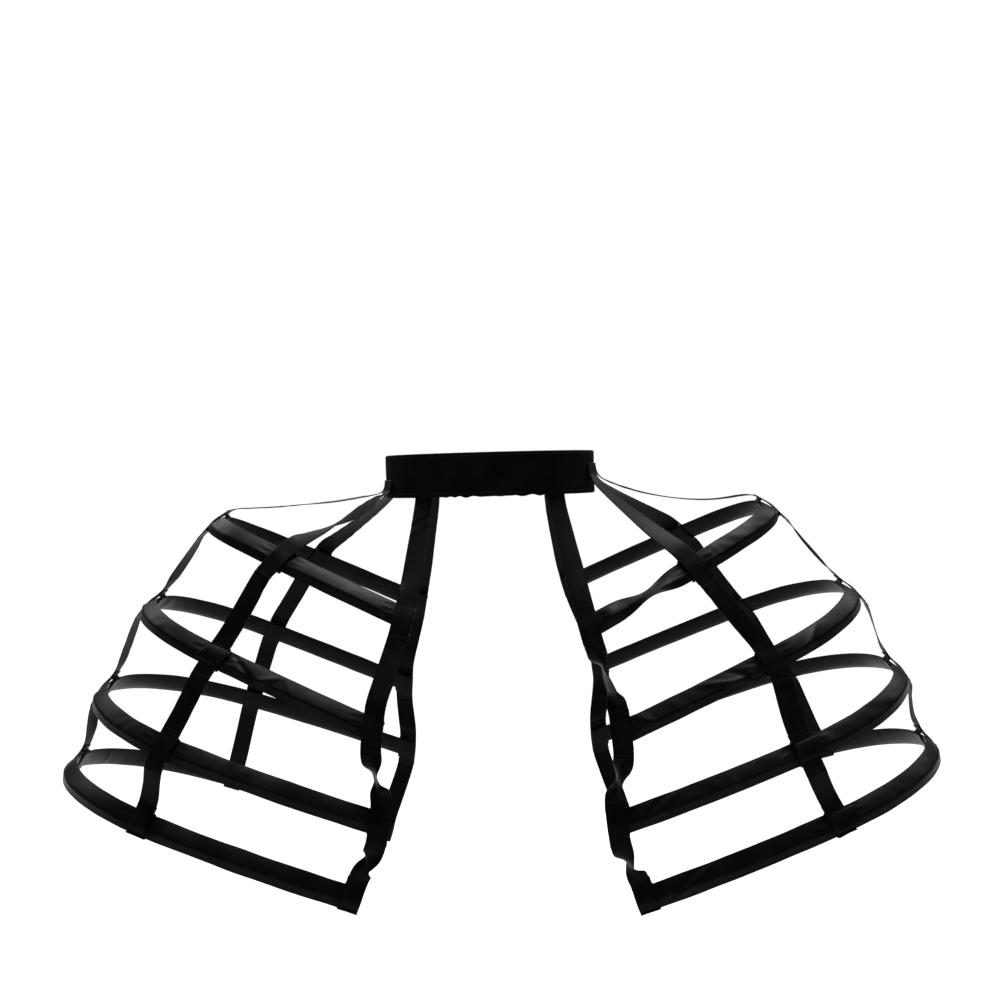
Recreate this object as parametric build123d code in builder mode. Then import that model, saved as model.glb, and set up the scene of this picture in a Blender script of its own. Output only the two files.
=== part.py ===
from build123d import *
import os
from math import asin, atan2, cos, degrees, radians, sin, sqrt, tan

# A crinoline cage of two side cages hung from one waistband.
# Millimetres, +Z up, the wearer faces -Y, so the wearer's left is +X.
# The origin is the waist's centre, half way up the waistband.

os.makedirs("parts", exist_ok=True)

# waistband, a flat band sewn to an oval
waist_width = 245.0
waist_depth = 180.0
band_height = 50.0
band_thickness = 3.0

# bones and the folded caps on their ends
bone_width = 12.0
bone_thickness = 1.4
bone_set_back = 10.0
tip_wall = 0.4
tip_length = 14.0
tip_play = 0.1

# hoop casings: a flattened bias tube sewn round each bone, as thick as the capped bone needs
casing_width = 25.0
casing_wall = 1.2
channel_play = 0.1
casing_thickness = bone_thickness + 2 * (tip_play + tip_wall + channel_play + casing_wall)

# tapes that hang the hoops, and the keepers that hold the hoops to them
tape_width = 22.0
tape_thickness = 0.8
keeper_thickness = 0.8
keeper_tab = 8.0
sewn_gap = 0.3
tape_gap = 6.0
outer_tape_top = {"left": 10.0, "right": -4.0}
outer_tape_tab = 15.0
side_tape_sag = {"left": 16.0, "right": 4.0}
inner_tape_top = 5.0
inner_tape_round = 88.0
band_edge_clear = 3.0
end_tape_inset = 9.0
bend_clear = 2.0

# each hoop from the top down, a U of three arcs: reach from its ends to its tip, half the spread
# between its ends, radius of its tip and half the angle that the tip's arc turns
hoops = [
    {"reach": 261.0, "half_spread": 146.0, "tip_radius": 93.0, "tip_half_angle": 65.5, "lean": 25.0},
    {"reach": 318.0, "half_spread": 166.5, "tip_radius": 140.0, "tip_half_angle": 78.0, "lean": 25.0},
    {"reach": 371.0, "half_spread": 182.0, "tip_radius": 173.0, "tip_half_angle": 80.0, "lean": 22.0},
    {"reach": 380.0, "half_spread": 188.0, "tip_radius": 185.0, "tip_half_angle": 79.5, "lean": 18.0},
]

# how each hoop hangs: its ends' distance out from the waist's side, their drop below the waist's
# centre, the rise towards the tip, the rise towards the back and the swing about the wearer
hang = {
    "left": [
        {"out": -29.0, "drop": 161.0, "tilt": 25.6, "pitch": 4.2, "swing": 1.1},
        {"out": 4.5, "drop": 272.0, "tilt": 23.0, "pitch": 3.3, "swing": -0.4},
        {"out": -0.5, "drop": 366.0, "tilt": 19.7, "pitch": 1.7, "swing": -1.3},
        {"out": 29.0, "drop": 462.0, "tilt": 20.3, "pitch": -4.3, "swing": -2.0},
    ],
    "right": [
        {"out": -32.0, "drop": 162.0, "tilt": 25.5, "pitch": -2.6, "swing": 1.4},
        {"out": -3.0, "drop": 275.5, "tilt": 24.3, "pitch": -1.5, "swing": -0.5},
        {"out": -6.0, "drop": 368.5, "tilt": 19.9, "pitch": -0.9, "swing": 0.5},
        {"out": 26.0, "drop": 461.5, "tilt": 20.1, "pitch": -6.2, "swing": 1.0},
    ],
}

# where each outer tape crosses the hoops, top to bottom, as a share of the way round from the front
crossings = {
    "left": {
        "front_outer": [0.226, 0.234, 0.233, 0.233],
        "side": [0.5, 0.5, 0.5, 0.5],
        "back_outer": [0.74, 0.74, 0.715, 0.7],
    },
    "right": {
        "front_outer": [0.26, 0.252, 0.268, 0.254],
        "side": [0.5, 0.5, 0.5, 0.5],
        "back_outer": [0.763, 0.757, 0.758, 0.767],
    },
}

sides = {"left": 1, "right": -1}
half_width = waist_width / 2
half_depth = waist_depth / 2


class Hoop:
    """The middle line of one hoop: tip arc and two side arcs in one tilted plane."""

    def __init__(self, side, size, place):
        self.sign = sides[side]
        self.size = size
        tilt = radians(place["tilt"])
        out = Vector(self.sign * cos(tilt), 0, sin(tilt))
        up = Vector(-self.sign * sin(tilt), 0, cos(tilt))
        ends = Vector(self.sign * (half_width + place["out"]), 0, -place["drop"])
        out, up = [v.rotate(Axis.X, place["pitch"]) for v in (out, up)]
        out, up, ends = [v.rotate(Axis.Z, place["swing"]) for v in (out, up, ends)]
        self.plane = Plane(origin=ends, x_dir=out, z_dir=up)
        self.solve_arcs()

    def solve_arcs(self):
        """Side arc from the tip arc's end, tangent to it, to the hoop's end."""
        size = self.size
        self.turn = radians(size["tip_half_angle"])
        self.centre_x = size["reach"] - size["tip_radius"]
        start_x = self.centre_x + size["tip_radius"] * cos(self.turn)
        start_y = size["tip_radius"] * sin(self.turn)
        step_x, step_y = -start_x, size["half_spread"] - start_y
        inward = -(step_x * cos(self.turn) + step_y * sin(self.turn))
        self.side_radius = (step_x ** 2 + step_y ** 2) / (2 * inward)
        self.side_x = start_x - self.side_radius * cos(self.turn)
        self.side_y = start_y - self.side_radius * sin(self.turn)
        end_angle = atan2(size["half_spread"] - self.side_y, -self.side_x)
        self.side_turn = end_angle - self.turn
        self.side_length = self.side_radius * self.side_turn
        self.tip_length = 2 * size["tip_radius"] * self.turn
        self.length = 2 * self.side_length + self.tip_length

    def line(self, trim=0.0):
        """The three arcs, each end shortened by trim, as a wire from low local y to high."""
        size = self.size
        turn, side_turn = degrees(self.turn), degrees(self.side_turn - trim / self.side_radius)
        with BuildLine(self.plane) as path:
            CenterArc((self.side_x, -self.side_y), self.side_radius, -turn - side_turn, side_turn)
            CenterArc((self.centre_x, 0), size["tip_radius"], -turn, 2 * turn)
            CenterArc((self.side_x, self.side_y), self.side_radius, turn, side_turn)
        return path.wire()

    def end_line(self, far, start, stop):
        """A stretch of one side arc, measured from the hoop's end inwards."""
        edge = self.turn + self.side_turn
        first = degrees(edge - start / self.side_radius)
        span = degrees((stop - start) / self.side_radius)
        with BuildLine(self.plane) as path:
            if far:
                CenterArc((self.side_x, self.side_y), self.side_radius, first, -span)
            else:
                CenterArc((self.side_x, -self.side_y), self.side_radius, -first, span)
        return path.wire()

    def across_end(self, far, start):
        """Plane across the hoop's line near either end: x up the leaning band."""
        share = start / self.length
        if far == (self.sign > 0):
            share = 1 - share
        frame, radius = self.frame(share)
        return Plane(origin=frame.origin, x_dir=frame.y_dir, z_dir=frame.x_dir)

    def frame(self, share):
        """Plane on the band at a share of the way from the front: x along the hoop, y up the
        leaning band, z straight out of it."""
        along = share if self.sign > 0 else 1 - share
        place = along * self.length
        if place < self.side_length:
            angle = -self.turn - (self.side_length - place) / self.side_radius
            middle, radius = (self.side_x, -self.side_y), self.side_radius
        elif place > self.side_length + self.tip_length:
            angle = self.turn + (place - self.side_length - self.tip_length) / self.side_radius
            middle, radius = (self.side_x, self.side_y), self.side_radius
        else:
            angle = (place - self.length / 2) / self.size["tip_radius"]
            middle, radius = (self.centre_x, 0), self.size["tip_radius"]
        point = (middle[0] + radius * cos(angle), middle[1] + radius * sin(angle))
        lean = radians(self.size["lean"])
        outward = (cos(angle) * cos(lean), sin(angle) * cos(lean), sin(lean))
        along_hoop = (-sin(angle), cos(angle), 0)
        origin = self.plane.from_local_coords(point)
        normal = self.plane.from_local_coords(outward) - self.plane.origin
        tangent = self.plane.from_local_coords(along_hoop) - self.plane.origin
        return Plane(origin=origin, x_dir=tangent, z_dir=normal), radius


def waist_frame(sign, around):
    """Plane on the waistband's middle line, at an arc length from the wearer's side towards the
    back, and the band's radius there: x along the band, y up and z out of it."""
    step = 0.25
    angle, travelled = 0.0, 0.0
    stretch = half_depth
    while travelled < abs(around):
        travelled += step
        angle += step / stretch
        stretch = sqrt((half_width * sin(angle)) ** 2 + (half_depth * cos(angle)) ** 2)
    angle = angle if around > 0 else -angle
    out = Vector(sign * cos(angle) / half_width, sin(angle) / half_depth, 0).normalized()
    point = Vector(sign * half_width * cos(angle), half_depth * sin(angle), 0)
    plane = Plane(origin=point, x_dir=Vector(0, 0, 1).cross(out), z_dir=out)
    return plane, stretch ** 3 / (half_width * half_depth)


def bow(radius, half_length):
    """How far a curve of this radius leaves a flat strip at this distance from its middle."""
    return half_length ** 2 / 2 / radius


def make_waistband():
    with BuildPart() as waistband:
        with BuildSketch(Plane.XY.offset(-band_height / 2)):
            Ellipse(half_width + band_thickness / 2, half_depth + band_thickness / 2)
            Ellipse(half_width - band_thickness / 2, half_depth - band_thickness / 2,
                    mode=Mode.SUBTRACT)
        extrude(amount=band_height)
    return waistband


def make_casing(hoop):
    """A flattened tube swept along the hoop, open at both ends."""
    with BuildPart() as casing:
        with BuildSketch(hoop.across_end(False, 0)):
            SlotOverall(casing_width, casing_thickness)
            SlotOverall(casing_width - 2 * casing_wall, casing_thickness - 2 * casing_wall,
                        mode=Mode.SUBTRACT)
        sweep(path=hoop.line())
    return casing


def make_bone(hoop):
    with BuildPart() as bone:
        with BuildSketch(hoop.across_end(False, bone_set_back)):
            Rectangle(bone_width, bone_thickness)
        sweep(path=hoop.line(bone_set_back))
    return bone


def make_bone_tips(hoop):
    """A folded cap over each end of the bone, as two solids."""
    cap_side = 2 * (tip_play + tip_wall)
    outer_start = bone_set_back - tip_play - tip_wall
    pocket_start = bone_set_back - tip_play
    stop = bone_set_back + tip_length
    with BuildPart() as tips:
        for far in (False, True):
            with BuildPart(mode=Mode.PRIVATE) as outer:
                with BuildSketch(hoop.across_end(far, outer_start)):
                    Rectangle(bone_width + cap_side, bone_thickness + cap_side)
                sweep(path=hoop.end_line(far, outer_start, stop))
            with BuildPart(mode=Mode.PRIVATE) as pocket:
                with BuildSketch(hoop.across_end(far, pocket_start)):
                    Rectangle(bone_width + 2 * tip_play, bone_thickness + 2 * tip_play)
                sweep(path=hoop.end_line(far, pocket_start, stop))
            add(outer.part - pocket.part)
    return tips


def waist_place(side, name):
    """The tape's tab on the waistband: its upper and lower middle points and its direction across."""
    sign = sides[side]
    towards = -1 if name.startswith("front") else 1
    sewn = sewn_gap + tape_thickness / 2
    if name.endswith("inner"):
        frame, radius = waist_frame(sign, towards * inner_tape_round)
        out = -band_thickness / 2 - sewn - bow(radius, tape_width / 2)
        heights = (inner_tape_top, -band_height / 2 - band_edge_clear)
    else:
        frame, radius = waist_frame(sign, 0 if name == "side" else towards * (tape_width + tape_gap))
        out = band_thickness / 2 + sewn
        heights = (outer_tape_top[side], outer_tape_top[side] - outer_tape_tab)
    return [frame.from_local_coords((0, height, out)) for height in heights], frame.x_dir


def crossing_frames(side, name):
    """Plane on each hoop's band where the tape crosses it: y up the tape, z out of the band."""
    bands = []
    for level, hoop in enumerate(cages[side]):
        inset = end_tape_inset / hoop.length
        shares = {"front_inner": inset, "back_inner": 1 - inset}
        share = shares[name] if name in shares else crossings[side][name][level]
        bands.append(hoop.frame(share)[0])
    points = [waist_place(side, name)[0][1]] + [band.origin for band in bands]
    frames = []
    for level, band in enumerate(bands):
        rises = [points[level] - band.origin]
        if level + 1 < len(bands):
            rises.append(band.origin - bands[level + 1].origin)
        flat = [rise - band.z_dir * rise.dot(band.z_dir) for rise in rises]
        up = Vector(0, 0, 0)
        for rise in flat:
            up += rise.normalized()
        frames.append(Plane(origin=band.origin, x_dir=up.cross(band.z_dir), z_dir=band.z_dir))
    return list(zip(bands, frames))


def make_tape(side, name):
    """A ribbon of straight spans, mitred where it bends; it ends round the lowest hoop."""
    tab, across = waist_place(side, name)
    stations = [(point, across) for point in tab]
    off = casing_thickness / 2 + sewn_gap + tape_thickness / 2
    for level, (band, frame) in enumerate(crossing_frames(side, name)):
        reach, slack, skew = keeper_reach(cages[side][level], band, frame)
        if level == 0 and name == "side":
            middle = (tab[1] + frame.from_local_coords((0, reach, off))) / 2
            stations.append((middle - Vector(0, 0, side_tape_sag[side]), across + frame.x_dir))
        last = level + 1 == len(cages[side])
        foot = (casing_width / 2 + slack + keeper_thickness) / cos(skew) if last else reach
        for height in (reach, -foot):
            stations.append((frame.from_local_coords((0, height, off)), frame.x_dir))
    points = [point for point, across in stations]
    runs = [(after - before).normalized() for before, after in zip(points, points[1:])]
    with BuildPart() as tape:
        for number, (point, across) in enumerate(stations):
            before = runs[max(number - 1, 0)].cross(across).normalized()
            after = runs[min(number, len(runs) - 1)].cross(across).normalized()
            face = (before + after).normalized()
            with BuildSketch(Plane(origin=point, x_dir=across, z_dir=across.cross(face))):
                Rectangle(tape_width, tape_thickness / face.dot(before))
        loft(ruled=True)
    return tape


def keeper_reach(hoop, band, frame):
    """How far along the tape the keeper's tab reaches, the play inside it and the tape's skew."""
    skew = abs(asin(frame.x_dir.dot(band.y_dir)))
    half_spread = tape_width / 2 / cos(skew) + casing_width / 2 * tan(skew)
    slack = sewn_gap + bow(hoop.size["tip_radius"], half_spread)
    tab = casing_width / 2 + keeper_tab
    reach = tab / cos(skew) + tape_width / 2 * tan(skew) + bend_clear
    return reach, slack, skew


def make_keepers(side, name):
    """A strap behind each hoop, sewn to the tape's back above and below it; on the lowest hoop
    it meets the tape's end under the hoop instead."""
    tape_back = casing_thickness / 2 + sewn_gap
    tab_y = casing_width / 2 + keeper_tab
    with BuildPart() as keepers:
        for level, (band, frame) in enumerate(crossing_frames(side, name)):
            reach, slack, skew = keeper_reach(cages[side][level], band, frame)
            inside_y = casing_width / 2 + slack
            outside_y = inside_y + keeper_thickness
            inside_z = -casing_thickness / 2 - slack
            last = level + 1 == len(cages[side])
            low_y = outside_y if last else tab_y
            with BuildPart(mode=Mode.PRIVATE) as strap:
                with BuildSketch(Plane(origin=band.origin, x_dir=band.y_dir, z_dir=band.x_dir)):
                    with Locations(((tab_y - low_y) / 2, tape_back - keeper_thickness / 2)):
                        Rectangle(tab_y + low_y, keeper_thickness)
                    with Locations((0, (tape_back + inside_z - keeper_thickness) / 2)):
                        Rectangle(2 * outside_y, tape_back - inside_z + keeper_thickness)
                    with Locations((0, (tape_back + inside_z) / 2)):
                        Rectangle(2 * inside_y, tape_back - inside_z, mode=Mode.SUBTRACT)
                extrude(amount=2 * tape_width, both=True)
                with BuildSketch(frame):
                    Rectangle(tape_width, 4 * tape_width)
                extrude(amount=2 * casing_thickness, both=True, mode=Mode.INTERSECT)
            add(strap.part)
    return keepers


def save(built, node):
    built.part.label = node
    export_step(built.part, f"parts/{node}.step")


tape_names = ["front_inner", "front_outer", "side", "back_outer", "back_inner"]
cages = {side: [Hoop(side, size, place) for size, place in zip(hoops, hang[side])] for side in sides}

save(make_waistband(), "waistband")
for side in sides:
    for number, hoop in enumerate(cages[side], start=1):
        save(make_casing(hoop), f"{side}_casing_{number}")
        save(make_bone(hoop), f"{side}_bone_{number}")
        save(make_bone_tips(hoop), f"{side}_bone_tips_{number}")
    for name in tape_names:
        save(make_tape(side, name), f"{side}_tape_{name}")
        save(make_keepers(side, name), f"{side}_keepers_{name}")
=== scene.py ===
from math import atan2, cos, degrees, exp, hypot, pi, radians, sin, sqrt

import bmesh
import bpy
from mathutils import Matrix, Vector, noise


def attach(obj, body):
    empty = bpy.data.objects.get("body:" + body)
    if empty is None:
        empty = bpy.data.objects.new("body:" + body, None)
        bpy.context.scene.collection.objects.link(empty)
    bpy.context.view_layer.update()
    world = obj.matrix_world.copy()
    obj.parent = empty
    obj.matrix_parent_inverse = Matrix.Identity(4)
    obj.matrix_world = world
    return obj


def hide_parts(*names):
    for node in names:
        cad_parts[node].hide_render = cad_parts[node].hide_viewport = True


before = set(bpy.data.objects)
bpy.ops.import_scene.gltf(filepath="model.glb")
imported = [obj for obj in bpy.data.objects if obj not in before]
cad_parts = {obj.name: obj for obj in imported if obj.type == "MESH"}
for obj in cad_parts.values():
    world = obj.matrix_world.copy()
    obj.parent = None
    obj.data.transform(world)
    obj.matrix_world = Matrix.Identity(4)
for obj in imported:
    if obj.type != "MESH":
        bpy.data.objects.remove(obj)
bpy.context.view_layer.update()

mm = 0.001
scene = bpy.context.scene
sides = {"left": 1, "right": -1}
levels = range(4)
print("frame loaded,", len(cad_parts), "nodes")


# camera at the height of the waist, square to the front
view = {
    "distance": 1.4091,
    "azimuth": 0.72,
    "aside": 8.3 * mm,
    "height": -1.2 * mm,
    "yaw": -0.1,
    "pitch": 1.22,
    "roll": -1.58,
    "lens": 42.48,
}


def makeCamera():
    turn = radians(view["azimuth"])
    heading = turn + radians(view["yaw"])
    away = Vector((sin(turn), -cos(turn), 0)) * view["distance"]
    across = Vector((cos(turn), sin(turn), 0)) * view["aside"]
    forward = Vector((-sin(heading), cos(heading), 0)) * cos(radians(view["pitch"]))
    forward.z = -sin(radians(view["pitch"]))
    right = Vector((cos(heading), sin(heading), 0))
    tip = Matrix.Rotation(radians(-view["roll"]), 3, forward)
    right.rotate(tip)
    up = right.cross(forward)
    data = bpy.data.cameras.new("camera")
    data.lens = view["lens"]
    data.sensor_width = 36
    camera = bpy.data.objects.new("camera", data)
    scene.collection.objects.link(camera)
    place = Matrix((right, up, -forward)).transposed().to_4x4()
    place.translation = away + across + Vector((0, 0, view["height"]))
    camera.matrix_world = place
    scene.camera = camera


makeCamera()


# the waistband and the hoops' lines, as the frame has them
band = {"width": 245 * mm, "depth": 180 * mm, "height": 50 * mm, "thick": 3 * mm}

hoopSizes = [
    {"reach": 261 * mm, "halfSpread": 146 * mm, "tipRadius": 93 * mm, "tipHalfAngle": 65.5, "lean": 25},
    {"reach": 318 * mm, "halfSpread": 166.5 * mm, "tipRadius": 140 * mm, "tipHalfAngle": 78, "lean": 25},
    {"reach": 371 * mm, "halfSpread": 182 * mm, "tipRadius": 173 * mm, "tipHalfAngle": 80, "lean": 22},
    {"reach": 380 * mm, "halfSpread": 188 * mm, "tipRadius": 185 * mm, "tipHalfAngle": 79.5, "lean": 18},
]

hang = {
    "left": [
        {"out": -29 * mm, "drop": 161 * mm, "tilt": 25.6, "pitch": 4.2, "swing": 1.1},
        {"out": 4.5 * mm, "drop": 272 * mm, "tilt": 23, "pitch": 3.3, "swing": -0.4},
        {"out": -0.5 * mm, "drop": 366 * mm, "tilt": 19.7, "pitch": 1.7, "swing": -1.3},
        {"out": 29 * mm, "drop": 462 * mm, "tilt": 20.3, "pitch": -4.3, "swing": -2},
    ],
    "right": [
        {"out": -32 * mm, "drop": 162 * mm, "tilt": 25.5, "pitch": -2.6, "swing": 1.4},
        {"out": -3 * mm, "drop": 275.5 * mm, "tilt": 24.3, "pitch": -1.5, "swing": -0.5},
        {"out": -6 * mm, "drop": 368.5 * mm, "tilt": 19.9, "pitch": -0.9, "swing": 0.5},
        {"out": 26 * mm, "drop": 461.5 * mm, "tilt": 20.1, "pitch": -6.2, "swing": 1},
    ],
}


def solveHoop(size):
    turn = radians(size["tipHalfAngle"])
    centreX = size["reach"] - size["tipRadius"]
    startX = centreX + size["tipRadius"] * cos(turn)
    startY = size["tipRadius"] * sin(turn)
    stepX, stepY = -startX, size["halfSpread"] - startY
    inward = -(stepX * cos(turn) + stepY * sin(turn))
    sideRadius = (stepX ** 2 + stepY ** 2) / (2 * inward)
    sideX = startX - sideRadius * cos(turn)
    sideY = startY - sideRadius * sin(turn)
    sideTurn = atan2(size["halfSpread"] - sideY, -sideX) - turn
    sideLength = sideRadius * sideTurn
    length = 2 * (sideLength + size["tipRadius"] * turn)
    return {"turn": turn, "centreX": centreX, "sideRadius": sideRadius, "sideX": sideX,
            "sideY": sideY, "sideLength": sideLength, "length": length}


hoopArcs = [solveHoop(size) for size in hoopSizes]


# a point on a hoop's middle line at a share of the way from the front, with the directions
# along the hoop towards the back, up its leaning face and out of it
def hoopFrame(side, level, share):
    sign = sides[side]
    size, arcs, place = hoopSizes[level], hoopArcs[level], hang[side][level]
    along = (share if sign > 0 else 1 - share) * arcs["length"]
    if along < arcs["sideLength"]:
        angle = -arcs["turn"] - (arcs["sideLength"] - along) / arcs["sideRadius"]
        middleX, middleY, radius = arcs["sideX"], -arcs["sideY"], arcs["sideRadius"]
    elif along > arcs["length"] - arcs["sideLength"]:
        angle = arcs["turn"] + (along - arcs["length"] + arcs["sideLength"]) / arcs["sideRadius"]
        middleX, middleY, radius = arcs["sideX"], arcs["sideY"], arcs["sideRadius"]
    else:
        angle = (along - arcs["length"] / 2) / size["tipRadius"]
        middleX, middleY, radius = arcs["centreX"], 0, size["tipRadius"]
    lean = radians(size["lean"])
    point = Vector((middleX + radius * cos(angle), middleY + radius * sin(angle), 0))
    outward = Vector((cos(angle) * cos(lean), sin(angle) * cos(lean), sin(lean)))
    onward = Vector((-sin(angle), cos(angle), 0))
    tilt = radians(place["tilt"])
    xAxis = Vector((sign * cos(tilt), 0, sin(tilt)))
    zAxis = Vector((-sign * sin(tilt), 0, cos(tilt)))
    turned = Matrix((xAxis, zAxis.cross(xAxis), zAxis)).transposed()
    pitched = Matrix.Rotation(radians(place["pitch"]), 3, "X") @ turned
    swung = Matrix.Rotation(radians(place["swing"]), 3, "Z")
    ends = Vector((sign * (band["width"] / 2 + place["out"]), 0, -place["drop"]))
    spin = swung @ pitched
    point = swung @ (ends + pitched @ point)
    out = spin @ outward
    onward = (spin @ onward) * sign
    up = out.cross(onward) * sign
    return point, onward, up, out


def smoothStep(low, high, value):
    t = min(max((value - low) / (high - low), 0), 1)
    return t * t * (3 - 2 * t)


def hill(distance, reach):
    return exp(-((distance / reach) ** 2))


def lerp(low, high, share):
    return low + (high - low) * share


# smooth made-up unevenness, the same each time, from about -1 to 1; each seed reads its own line
def drift(place, seed):
    return noise.noise(Vector((place, seed * 7.31, seed * 3.17))) * 1.6


# a cloth surface from a grid: place(u, v) puts each vertex, and size is the cloth's own metres
def wrapGrid(alongCount, acrossCount, place, size):
    mesh = bmesh.new()
    bmesh.ops.create_grid(mesh, x_segments=alongCount, y_segments=acrossCount, size=0.5)
    cut = mesh.loops.layers.uv.new("UVMap")
    for face in mesh.faces:
        for corner in face.loops:
            flat = corner.vert.co
            corner[cut].uv = ((flat.x + 0.5) * size[0], (flat.y + 0.5) * size[1])
    for vertex in mesh.verts:
        vertex.co = place(vertex.co.x + 0.5, vertex.co.y + 0.5)
    bmesh.ops.remove_doubles(mesh, verts=mesh.verts, dist=0.01 * mm)
    bmesh.ops.recalc_face_normals(mesh, faces=mesh.faces)
    return mesh


def addPiece(name, mesh, material):
    for face in mesh.faces:
        face.smooth = True
    data = bpy.data.meshes.new(name)
    mesh.to_mesh(data)
    mesh.free()
    piece = bpy.data.objects.new(name, data)
    scene.collection.objects.link(piece)
    data.materials.append(material)
    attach(piece, "root")
    return piece


# cloth modelled as its middle surface gets its thickness both ways
def thicken(piece, thick):
    shell = piece.modifiers.new("thickness", "SOLIDIFY")
    shell.thickness = thick
    shell.offset = 0


# materials: each cloth's colours, its smoothest and roughest gloss, and its threads
satin = {
    "dark": (0.0012, 0.0012, 0.0013, 1),
    "light": (0.0032, 0.0032, 0.0035, 1),
    "gloss": (0.34, 0.44),
    "specular": 0.05,
    "threadsPerMetre": 2600,
    "alongStretch": 0.06,
    "ribs": 0.25,
    "bump": 0.35,
}
tapeLustre = dict(satin, gloss=(0.38, 0.48), specular=0.04)
plainWeave = {
    "dark": (0.0012, 0.0012, 0.0013, 1),
    "light": (0.0034, 0.0034, 0.0036, 1),
    "gloss": (0.72, 0.88),
    "specular": 0.02,
    "threadsPerMetre": 1500,
    "alongStretch": 0.8,
    "ribs": 1.0,
    "bump": 0.6,
}

# what all the cloths share
weaving = {
    "threadScale": 0.5,
    "threadDetail": 3,
    "patchScale": 38,
    "patchDetail": 4,
    "patchShare": 0.5,
    "warpDistortion": 0.6,
    "depth": 0.2 * mm,
}

# marks on the thread, bones and tips
grain = {"scale": 90, "detail": 5, "roughening": 0.15, "bump": 0.2, "depth": 0.1 * mm}


def newMaterial(name):
    material = bpy.data.materials.new(name)
    material.use_nodes = True
    tree = material.node_tree
    shader = tree.nodes["Principled BSDF"]
    return material, tree, shader


def link(tree, source, socket, target, entry):
    tree.links.new(source.outputs[socket], target.inputs[entry])


def addRamp(tree, factor, socket, low, high, lowAt=0.3, highAt=0.7):
    ramp = tree.nodes.new("ShaderNodeValToRGB")
    ramp.color_ramp.elements[0].position = lowAt
    ramp.color_ramp.elements[1].position = highAt
    ramp.color_ramp.elements[0].color = low
    ramp.color_ramp.elements[1].color = high
    link(tree, factor, socket, ramp, "Fac")
    return ramp


def grey(value):
    return (value, value, value, 1)


# cloth on its own cut: threads across and along, long soft slubs and broad worn patches
def clothMaterial(name, looks):
    material, tree, shader = newMaterial(name)
    cut = tree.nodes.new("ShaderNodeUVMap")
    cut.uv_map = "UVMap"
    stretch = tree.nodes.new("ShaderNodeMapping")
    count = looks["threadsPerMetre"]
    stretch.inputs["Scale"].default_value = (count * looks["alongStretch"], count, 1)
    link(tree, cut, "UV", stretch, "Vector")
    threads = tree.nodes.new("ShaderNodeTexNoise")
    threads.inputs["Scale"].default_value = weaving["threadScale"]
    threads.inputs["Detail"].default_value = weaving["threadDetail"]
    link(tree, stretch, "Vector", threads, "Vector")
    patches = tree.nodes.new("ShaderNodeTexNoise")
    patches.inputs["Scale"].default_value = weaving["patchScale"]
    patches.inputs["Detail"].default_value = weaving["patchDetail"]
    link(tree, cut, "UV", patches, "Vector")
    colour = addRamp(tree, patches, "Fac", looks["dark"], looks["light"])
    link(tree, colour, "Color", shader, "Base Color")
    mixed = tree.nodes.new("ShaderNodeMath")
    mixed.operation = "MULTIPLY_ADD"
    mixed.inputs[1].default_value = 1 - weaving["patchShare"]
    link(tree, threads, "Fac", mixed, 0)
    worn = tree.nodes.new("ShaderNodeMath")
    worn.operation = "MULTIPLY"
    worn.inputs[1].default_value = weaving["patchShare"]
    link(tree, patches, "Fac", worn, 0)
    link(tree, worn, "Value", mixed, 2)
    gloss = addRamp(tree, mixed, "Value", grey(looks["gloss"][0]), grey(looks["gloss"][1]))
    link(tree, gloss, "Color", shader, "Roughness")
    warp = tree.nodes.new("ShaderNodeTexWave")
    warp.bands_direction = "Y"
    warp.inputs["Scale"].default_value = count / 4
    warp.inputs["Distortion"].default_value = weaving["warpDistortion"]
    link(tree, cut, "UV", warp, "Vector")
    weave = tree.nodes.new("ShaderNodeMath")
    weave.operation = "MULTIPLY_ADD"
    weave.inputs[1].default_value = looks["ribs"]
    link(tree, warp, "Fac", weave, 0)
    link(tree, threads, "Fac", weave, 2)
    bump = tree.nodes.new("ShaderNodeBump")
    bump.inputs["Strength"].default_value = looks["bump"]
    bump.inputs["Distance"].default_value = weaving["depth"]
    link(tree, weave, "Value", bump, "Height")
    link(tree, bump, "Normal", shader, "Normal")
    shader.inputs["Specular IOR Level"].default_value = looks["specular"]
    return material


def hardMaterial(name, looks):
    material, tree, shader = newMaterial(name)
    where = tree.nodes.new("ShaderNodeTexCoord")
    stretch = tree.nodes.new("ShaderNodeMapping")
    stretch.inputs["Scale"].default_value = looks["streaks"]
    link(tree, where, "Object", stretch, "Vector")
    marks = tree.nodes.new("ShaderNodeTexNoise")
    marks.inputs["Scale"].default_value = grain["scale"]
    marks.inputs["Detail"].default_value = grain["detail"]
    link(tree, stretch, "Vector", marks, "Vector")
    colour = addRamp(tree, marks, "Fac", looks["worn"], looks["base"])
    link(tree, colour, "Color", shader, "Base Color")
    roughness = looks["roughness"]
    gloss = addRamp(tree, marks, "Fac", grey(roughness + grain["roughening"]), grey(roughness))
    link(tree, gloss, "Color", shader, "Roughness")
    bump = tree.nodes.new("ShaderNodeBump")
    bump.inputs["Strength"].default_value = grain["bump"]
    bump.inputs["Distance"].default_value = grain["depth"]
    link(tree, marks, "Fac", bump, "Height")
    link(tree, bump, "Normal", shader, "Normal")
    shader.inputs["Metallic"].default_value = looks["metallic"]
    shader.inputs["Specular IOR Level"].default_value = looks["specular"]
    return material


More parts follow.
